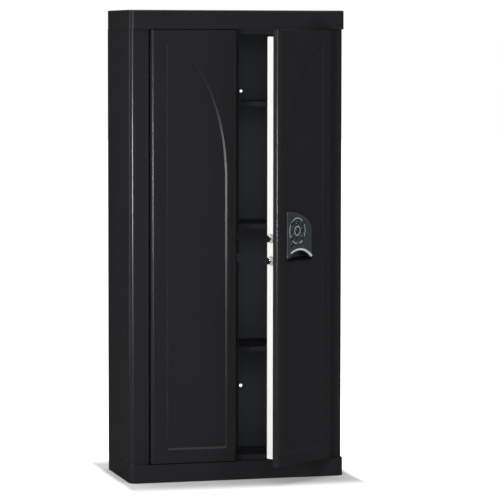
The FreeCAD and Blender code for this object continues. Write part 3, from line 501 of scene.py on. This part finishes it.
# %% [markdown]
# A key on a pad like this is a moulded cap with a shallow dish for the fingertip and a soft shoulder. The
# engineering model has a plain disc, so a turned profile replaces it: flange, wall, quarter-round shoulder, dish.

# %% Dished keys
KEY_STEPS = 48
DISH = 0.35 * MM
DISH_SHARES = (0.25, 0.5, 0.75, 0.97)
SHOULDER = 0.9 * MM
SHOULDER_STEPS = 6
WALL_R = 6.8 * MM
FLANGE_T = 1.0 * MM
caps = {}
for name in sorted(name for name in frame["nodes"] if name.startswith("key_")):
    low, high = shut_box(name)
    centre = (low + high) / 2
    flange_r = (high.x - low.x) / 2
    flange_y = high.y - FLANGE_T
    profile = [(flange_r, high.y), (flange_r, flange_y), (WALL_R, flange_y)]
    for step in range(SHOULDER_STEPS + 1):
        angle = math.pi / 2 * step / SHOULDER_STEPS
        profile.append((WALL_R - SHOULDER * (1 - math.cos(angle)), low.y + SHOULDER * (1 - math.sin(angle))))
    rim = profile[-1][0]
    profile += [(rim * (1 - share), low.y + DISH * (1 - (1 - share) ** 2)) for share in DISH_SHARES]
    cap = mesh_piece("cap_" + name, lambda drawing: lathe(drawing, profile, centre, KEY_STEPS), "key_plastic")
    cap.data.transform(SWING)
    caps[name] = (centre, low.y + DISH)
    settle(cap, name, "key_plastic", name)
print("made", len(caps), "dished keys")

# %% [markdown]
# The digits are printed in pale ink. Text objects give their outlines; each is made a mesh, laid a hair above the
# dish and turned with the door.

# %% Digits on the keys
def ink(place):
    cloud = place.noise(800.0)
    return {"Base Color": cloud.between(rgb(0.17, 0.19, 0.20), rgb(0.13, 0.15, 0.16)),
            "Roughness": 0.45 + cloud * 0.1}


INK = finish("key_ink", {}, ink)
SIGNS = {"key_star": "*", "key_hash": "#"}
INK_T = 0.05 * MM
SIGN_SIZE = 9.0 * MM
for name, (centre, face_y) in caps.items():
    curve = bpy.data.curves.new("digit", "FONT")
    curve.body = SIGNS.get(name, name[-1])
    curve.size = SIGN_SIZE
    curve.extrude = INK_T
    curve.align_x = "CENTER"
    curve.resolution_u = 3
    text = bpy.data.objects.new("digit", curve)
    SCENE.collection.objects.link(text)
    digit = baked(text, "digit_" + name)
    xs = [vertex.co.x for vertex in digit.data.vertices]
    ys = [vertex.co.y for vertex in digit.data.vertices]
    middle = Vector(((min(xs) + max(xs)) / 2, (min(ys) + max(ys)) / 2, 0))
    stand = Matrix.Translation((centre.x, face_y - INK_T, centre.z)) @ Matrix.Rotation(math.pi / 2, 4, "X")
    digit.data.transform(SWING @ stand @ Matrix.Translation(-middle))
    digit.data.materials.clear()
    digit.data.materials.append(INK)
    settle(digit, name, "key_plastic")
print("printed", len(caps), "signs")

# %% [markdown]
# Rings round the keys and screws in the covers are the same part again and again. That is a job for Geometry Nodes:
# a tree with named sizes draws the part once, puts it on every point of a mesh, makes it real and gives it its
# material. The evaluated result is kept as one plain mesh.

# %% A tree that puts a part on every point
def node_in(tree, kind, links=(), **settings):
    """Adds a geometry node, sets it and links or fills its inputs."""
    node = tree.nodes.new(kind)
    for name, setting in settings.items():
        setattr(node, name, setting)
    for key, given in dict(links).items():
        if isinstance(given, bpy.types.NodeSocket):
            tree.links.new(given, node.inputs[key])
        else:
            node.inputs[key].default_value = given
    return node


def point_tree(name, sizes, part, material):
    """A tree with named sizes as inputs. It puts what the part function draws on every point of the mesh."""
    tree = bpy.data.node_groups.new(name, "GeometryNodeTree")
    tree.interface.new_socket("Geometry", in_out="INPUT", socket_type="NodeSocketGeometry")
    tree.interface.new_socket("Geometry", in_out="OUTPUT", socket_type="NodeSocketGeometry")
    for size in sizes:
        tree.interface.new_socket(size, in_out="INPUT", socket_type="NodeSocketFloat")
    given = tree.nodes.new("NodeGroupInput").outputs
    shape = part(tree, given)
    spread = node_in(tree, "GeometryNodeInstanceOnPoints", {"Points": given["Geometry"], "Instance": shape})
    real = node_in(tree, "GeometryNodeRealizeInstances", {"Geometry": spread.outputs[0]})
    painted = node_in(tree, "GeometryNodeSetMaterial", {"Geometry": real.outputs[0], "Material": material})
    tree.links.new(painted.outputs[0], tree.nodes.new("NodeGroupOutput").inputs[0])
    return tree


def on_points(name, places, tree, sizes, slot):
    """Runs a point tree over the places and keeps the result as a plain mesh object."""
    def dots(drawing):
        for place in places:
            drawing.verts.new(place)
    item = mesh_piece(name, dots, slot)
    modifier = item.modifiers.new("points", "NODES")
    modifier.node_group = tree
    for socket in tree.interface.items_tree:
        if socket.in_out == "INPUT" and socket.name in sizes:
            modifier[socket.identifier] = sizes[socket.name]
    return baked(item, name)


print("a tree takes a part, its sizes and a material")

# %% [markdown]
# A bright ring trims each key: a small circle swept round a large one, which stands upright on the keypad's face.

# %% Bright rings round the keys
RING_STEPS = 48
WIRE_STEPS = 10


def ring_part(tree, given):
    circle = "GeometryNodeCurvePrimitiveCircle"
    path = node_in(tree, circle, {"Resolution": RING_STEPS, "Radius": given["Ring radius"]})
    wire = node_in(tree, circle, {"Resolution": WIRE_STEPS, "Radius": given["Wire radius"]})
    swept = node_in(tree, "GeometryNodeCurveToMesh", {"Curve": path.outputs[0], "Profile Curve": wire.outputs[0]})
    upright = node_in(tree, "GeometryNodeTransform",
                      {"Geometry": swept.outputs[0], "Rotation": (math.pi / 2, 0.0, 0.0)})
    return upright.outputs[0]


pad_face = shut_box("keypad_housing")[0].y
RING_SIZES = {"Ring radius": 7.75 * MM, "Wire radius": 0.35 * MM}
ring_tree = point_tree("key_rings", RING_SIZES, ring_part, FINISHES["chrome"])
ring_places = [(centre.x, pad_face, centre.z) for centre, _ in caps.values()]
rings = on_points("key_rims", ring_places, ring_tree, RING_SIZES, "chrome")
rings.data.transform(SWING)
settle(rings, "right_door", "chrome")
print("key rims:", len(rings.data.polygons), "faces")

# %% [markdown]
# The inner covers are held by pan-head screws with a cross recess. The head is a squat cone frustum with two
# slots cut out of it, on a plain shank. A boolean node cuts both slots at once.

# %% A pan-head screw
HEAD_STEPS = 28
SHANK_STEPS = 16
SLOT_BAR = (4.4 * MM, 0.8 * MM, 2.4 * MM)
SLOT_UP = 2.2 * MM
SHANK_DOWN = 2.4 * MM


def screw_part(tree, given):
    head = node_in(tree, "GeometryNodeMeshCone",
                   {"Vertices": HEAD_STEPS, "Radius Top": given["Top radius"], "Radius Bottom": given["Head radius"],
                    "Depth": given["Head height"]})
    slots = []
    for turn in (0.0, math.pi / 2):
        bar = node_in(tree, "GeometryNodeMeshCube", {"Size": SLOT_BAR})
        bar = node_in(tree, "GeometryNodeTransform",
                      {"Geometry": bar.outputs[0], "Translation": (0.0, 0.0, SLOT_UP), "Rotation": (0.0, 0.0, turn)})
        slots.append(bar.outputs[0])
    cut = node_in(tree, "GeometryNodeMeshBoolean", operation="DIFFERENCE")
    tree.links.new(head.outputs[0], cut.inputs["Mesh 1"])
    for slot in slots:
        tree.links.new(slot, cut.inputs["Mesh 2"])
    shank = node_in(tree, "GeometryNodeMeshCylinder",
                    {"Vertices": SHANK_STEPS, "Radius": given["Shank radius"], "Depth": given["Shank length"]})
    sunk = node_in(tree, "GeometryNodeTransform",
                   {"Geometry": shank.outputs[0], "Translation": (0.0, 0.0, -SHANK_DOWN)})
    whole = node_in(tree, "GeometryNodeJoinGeometry")
    tree.links.new(cut.outputs[0], whole.inputs[0])
    tree.links.new(sunk.outputs[0], whole.inputs[0])
    upright = node_in(tree, "GeometryNodeTransform",
                      {"Geometry": whole.outputs[0], "Rotation": (-math.pi / 2, 0.0, 0.0)})
    return upright.outputs[0]


print("a screw has", HEAD_STEPS, "sides and a cross of", round(SLOT_BAR[0] / MM, 1), "mm")

# %% [markdown]
# Twelve screws stand on each cover, where the engineering model has plain discs. The discs of a group are one node,
# so its mesh is followed from vertex to vertex to find each of them, and a screw takes its place.

# %% Screws on both covers
def islands(node, back):
    """The boxes of a node's separate solids, after a matrix takes them to the shut door."""
    drawing = bmesh.new()
    drawing.from_mesh(frame["nodes"][node].data)
    drawing.transform(back)
    bmesh.ops.remove_doubles(drawing, verts=drawing.verts, dist=WELD_WITHIN)
    waiting = set(drawing.verts)
    boxes = []
    while waiting:
        grown = [waiting.pop()]
        for vertex in grown:
            for edge in vertex.link_edges:
                other = edge.other_vert(vertex)
                if other in waiting:
                    waiting.remove(other)
                    grown.append(other)
        lows = [min(vertex.co[axis] for vertex in grown) for axis in range(3)]
        highs = [max(vertex.co[axis] for vertex in grown) for axis in range(3)]
        boxes.append((Vector(lows), Vector(highs)))
    drawing.free()
    return boxes


SCREW_SIZES = {"Top radius": 2.9 * MM, "Head radius": 4.0 * MM, "Head height": 2.2 * MM,
               "Shank radius": 1.75 * MM, "Shank length": 4.8 * MM}
screw_tree = point_tree("cover_screws", SCREW_SIZES, screw_part, FINISHES["pin_steel"])
for side, swing in (("left", Matrix.Identity(4)), ("right", SWING)):
    node = side + "_cover_screws"
    places = [((low.x + high.x) / 2, high.y - SCREW_SIZES["Head height"], (low.z + high.z) / 2)
              for low, high in islands(node, swing.inverted())]
    screws = on_points(side + "_pan_heads", places, screw_tree, SCREW_SIZES, "pin_steel")
    screws.data.transform(swing)
    settle(screws, side + "_door", "pin_steel", node)
    print(node, len(places), "screws,", len(screws.data.polygons), "faces")

# %% [markdown]
# The long-gun side has a strip of closed-cell foam along its notched rack and a thick foam mat on the floor. The
# strip is cut from sheet, so it is drawn as an outline with depth, and then its edges are rounded. Neither piece
# crosses a joint or needs a cloth simulation.

# %% Foam for the rack
NOTCH_R = 18.0 * MM
NOTCH_PITCH = 62.0 * MM
NOTCH_DEEP = 22.0 * MM
NOTCH_STEPS = 12
NOTCHES_EACH_WAY = 2
FOAM_ROUND = 1.6 * MM
FOAM_SHARP = math.radians(50)


def notch_outline():
    """The foam strip's plan: a straight back and round-bottomed notches along the front."""
    low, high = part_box("barrel_foam")
    middle = (low.x + high.x) / 2
    centre_y = low.y + NOTCH_DEEP
    points = [(high.x, high.y), (low.x, high.y), (low.x, low.y)]
    for index in range(-NOTCHES_EACH_WAY, NOTCHES_EACH_WAY + 1):
        x = middle + index * NOTCH_PITCH
        points.append((x - NOTCH_R, low.y))
        for step in range(NOTCH_STEPS + 1):
            angle = math.pi + math.pi * (1 - step / NOTCH_STEPS)
            points.append((x + NOTCH_R * math.cos(angle), centre_y - NOTCH_R * math.sin(angle)))
        points.append((x + NOTCH_R, low.y))
    points.append((high.x, low.y))
    return points, low.z, high.z


def rack_pad(drawing):
    points, bottom, top = notch_outline()
    lower = [drawing.verts.new((x, y, bottom)) for x, y in points]
    upper = [drawing.verts.new((x, y, top)) for x, y in points]
    drawing.faces.new(lower)
    drawing.faces.new(upper)
    for index in range(len(points)):
        after = (index + 1) % len(points)
        drawing.faces.new((lower[index], lower[after], upper[after], upper[index]))


pad = mesh_piece("rack_foam", rack_pad, "grey_foam")
rounding = pad.modifiers.new("round", "BEVEL")
rounding.width = FOAM_ROUND
rounding.segments = 3
rounding.limit_method = "ANGLE"
rounding.angle_limit = FOAM_SHARP
pad = baked(pad, "rack_foam")
settle(pad, "cabinet", "grey_foam", "barrel_foam")
print("rack foam:", len(pad.data.polygons), "faces")

# %% [markdown]
# The floor mat is ribbed along its length so that stocks don't slip. A fine grid is lifted in even ribs, which
# fade out at the border, and its underside stays flat on the steel.

# %% Floor mat
RIBS = 24
STEPS_PER_RIB = 8
STEPS_ALONG = 10
RIB_DEEP = 1.2 * MM
BORDER = 6.0 * MM


def ribbed_mat(drawing):
    low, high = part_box("stock_mat")
    across, along = RIBS * STEPS_PER_RIB, STEPS_ALONG
    rows = []
    for j in range(along + 1):
        row = []
        for i in range(across + 1):
            x = low.x + (high.x - low.x) * i / across
            y = low.y + (high.y - low.y) * j / along
            inward = min(x - low.x, high.x - x, y - low.y, high.y - y)
            lift = min(1.0, inward / BORDER)
            rib = 0.5 - 0.5 * math.cos(2 * math.pi * RIBS * i / across)
            row.append(drawing.verts.new((x, y, high.z - RIB_DEEP * (1 - lift * rib))))
        rows.append(row)
    for first, second in zip(rows, rows[1:]):
        for i in range(across):
            drawing.faces.new((first[i], first[i + 1], second[i + 1], second[i]))
    edge = rows[0] + [row[-1] for row in rows[1:]] + rows[-1][-2::-1] + [row[0] for row in rows[-2:0:-1]]
    foot = [drawing.verts.new((vertex.co.x, vertex.co.y, low.z)) for vertex in edge]
    for index in range(len(edge)):
        after = (index + 1) % len(edge)
        drawing.faces.new((edge[index], edge[after], foot[after], foot[index]))
    drawing.faces.new(foot)


mat = mesh_piece("floor_mat", ribbed_mat, "grey_foam")
settle(mat, "cabinet", "grey_foam", "stock_mat")
print("floor mat:", len(mat.data.polygons), "faces")

# %% [markdown]
# The room is plain, and its materials are short: each ends in one shader. Light Path tells what looks at a surface,
# so that a background can be white to the eye and still send little light to the safe.

# %% Materials for the room
def room_material(name):
    """An empty material, and a start for its expressions."""
    material = bpy.data.materials.new(name)
    material.use_nodes = True
    material.node_tree.nodes.clear()
    return material, Value(material.node_tree)


def surface(owner, value):
    """Ends a material's tree, or a world's, in its output."""
    kind = "ShaderNodeOutputWorld" if isinstance(owner, bpy.types.World) else "ShaderNodeOutputMaterial"
    output = owner.node_tree.nodes.new(kind)
    owner.node_tree.links.new(value.socket, output.inputs["Surface"])


def seen(start):
    """1 for rays that the eye, a gloss or a glass sends out, and 0 for light that scatters."""
    path = start.add("ShaderNodeLightPath", output="Is Camera Ray")
    node = path.socket.node
    glossy = Value(start.tree, node.outputs["Is Glossy Ray"])
    through = Value(start.tree, node.outputs["Is Transmission Ray"])
    return path.math("MAXIMUM", path, glossy.math("MAXIMUM", glossy, through))


print("white is seen by camera, glossy and transmission rays")

# %% [markdown]
# The floor is matt paper under the safe, which keeps its shadow. With the distance from the plinth it fades into a
# white that the eye and every gloss see, so that floor and background meet without a line.

# %% Floor
PAPER = rgb(0.72, 0.72, 0.72)
WHITE = rgb(1.0, 1.0, 1.0)
SHADOW_FADES = (0.07, 0.30)
SHADOW_NARROWER = 6.0
floor_material, start = room_material("floor")
paper = start.add("ShaderNodeBsdfDiffuse", (), {"Color": PAPER})
place = start.add("ShaderNodeTexCoord", output="Object")
base_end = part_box("base_plinth")[1]
aside = (place.part("X").size() - base_end[0]).above(0.0)
ahead = (place.part("Y").size() - base_end[1]).above(0.0)
away = (aside * SHADOW_NARROWER).above(ahead).step(*SHADOW_FADES)
glow = start.add("ShaderNodeEmission", (), {"Color": WHITE, "Strength": seen(start) * away})
both = start.add("ShaderNodeAddShader", (), {0: paper, 1: glow})
surface(floor_material, both)


def plate(name, corners, material):
    """One flat face that belongs to the room and not to the safe."""
    drawing = bmesh.new()
    drawing.faces.new([drawing.verts.new(corner) for corner in corners])
    mesh = bpy.data.meshes.new(name)
    drawing.to_mesh(mesh)
    drawing.free()
    mesh.materials.append(material)
    item = bpy.data.objects.new(name, mesh)
    SCENE.collection.objects.link(item)
    return item


REACH = 30.0
plate("floor", [(-REACH, -REACH, 0), (REACH, -REACH, 0), (REACH, REACH, 0), (-REACH, REACH, 0)], floor_material)
print("floor out to", REACH, "m, and shadows as far as", SHADOW_FADES[1], "m from the plinth")

# %% [markdown]
# The world lights the room evenly at a plain level, and shows as white to the eye, to gloss and through glass.

# %% World
world = bpy.data.worlds.new("room")
SCENE.world = world
world.use_nodes = True
world.node_tree.nodes.clear()
sky = Value(world.node_tree)
ROOM_LIGHT = 0.50
strength = ROOM_LIGHT + seen(sky) * (1.0 - ROOM_LIGHT)
surface(world, sky.add("ShaderNodeBackground", (), {"Color": WHITE, "Strength": strength}))
SCENE.view_settings.view_transform = "Standard"
print("room light", ROOM_LIGHT)

# %% [markdown]
# Black gloss is lit by what it mirrors. Three narrow strips on the left draw the long highlights on the rounded
# uprights. The large fills give the faces their level, and gloss doesn't mirror them. A box overhead lights the cap.

# %% Lamps
def soft_box(name, place, target, width, height, power, mirrored=True):
    """A soft box at a place, turned to a target. One that isn't mirrored is hidden from gloss."""
    lamp = bpy.data.lights.new(name, "AREA")
    lamp.shape = "RECTANGLE"
    lamp.size, lamp.size_y = width, height
    lamp.energy = power
    item = bpy.data.objects.new(name, lamp)
    item.location = place
    item.rotation_euler = (Vector(target) - Vector(place)).to_track_quat("-Z", "Y").to_euler()
    item.visible_glossy = mirrored
    SCENE.collection.objects.link(item)


soft_box("key_strip", (-2.7, -2.9, 0.80), (-0.3, -0.1, 0.80), 0.20, 0.46, 46.0)
soft_box("tail_strip", (-2.8, -3.0, 0.86), (-0.3, -0.1, 0.86), 0.20, 1.60, 10.0)
soft_box("edge_strip", (-3.4, 0.35, 1.0), (-0.3, -0.1, 0.8), 0.12, 2.2, 9.0)
soft_box("left_fill", (-4.8, -1.0, 1.6), (-0.3, 0.0, 0.8), 1.6, 1.6, 66.0, mirrored=False)
soft_box("front_fill", (-1.4, -5.5, 2.2), (0.1, 0.0, 0.8), 1.6, 1.6, 22.0, mirrored=False)
soft_box("right_fill", (3.2, -3.9, 1.5), (0.2, -0.3, 0.8), 1.4, 1.4, 55.0, mirrored=False)
soft_box("top_box", (0.0, 0.3, 4.4), (0.0, 0.2, 0.0), 2.4, 2.4, 90.0)
print(len(bpy.data.lights), "soft boxes")

# %% [markdown]
# In a studio, black cloth hangs round glossy black ware, or the paint turns grey with the white of the room. The
# tent here is a ring of cloths and a cloth on the floor that only gloss sees.

# %% Black tent for the gloss paint
TENT_R = 6.5
TENT_H = 3.6
TENT_SIDES = 24
TENT_FLOOR_UP = 1.0 * MM
CLOTH = rgb(0.02, 0.02, 0.02)
tent_material, start = room_material("tent_black")
surface(tent_material, start.add("ShaderNodeBsdfDiffuse", (), {"Color": CLOTH}))
ring = [(TENT_R * math.cos(2 * math.pi * side / TENT_SIDES), TENT_R * math.sin(2 * math.pi * side / TENT_SIDES))
        for side in range(TENT_SIDES)]
tent = [plate("tent_floor", [(x, y, TENT_FLOOR_UP) for x, y in ring], tent_material)]
for side, (x, y) in enumerate(ring):
    after = ring[(side + 1) % TENT_SIDES]
    wall = [(x, y, 0), (*after, 0), (*after, TENT_H), (x, y, TENT_H)]
    tent.append(plate(f"tent_wall_{side}", wall, tent_material))
for item in tent:
    item.visible_camera = False
    item.visible_diffuse = False
    item.visible_shadow = False
    item.visible_transmission = False
print("a tent of", len(tent), "cloths")
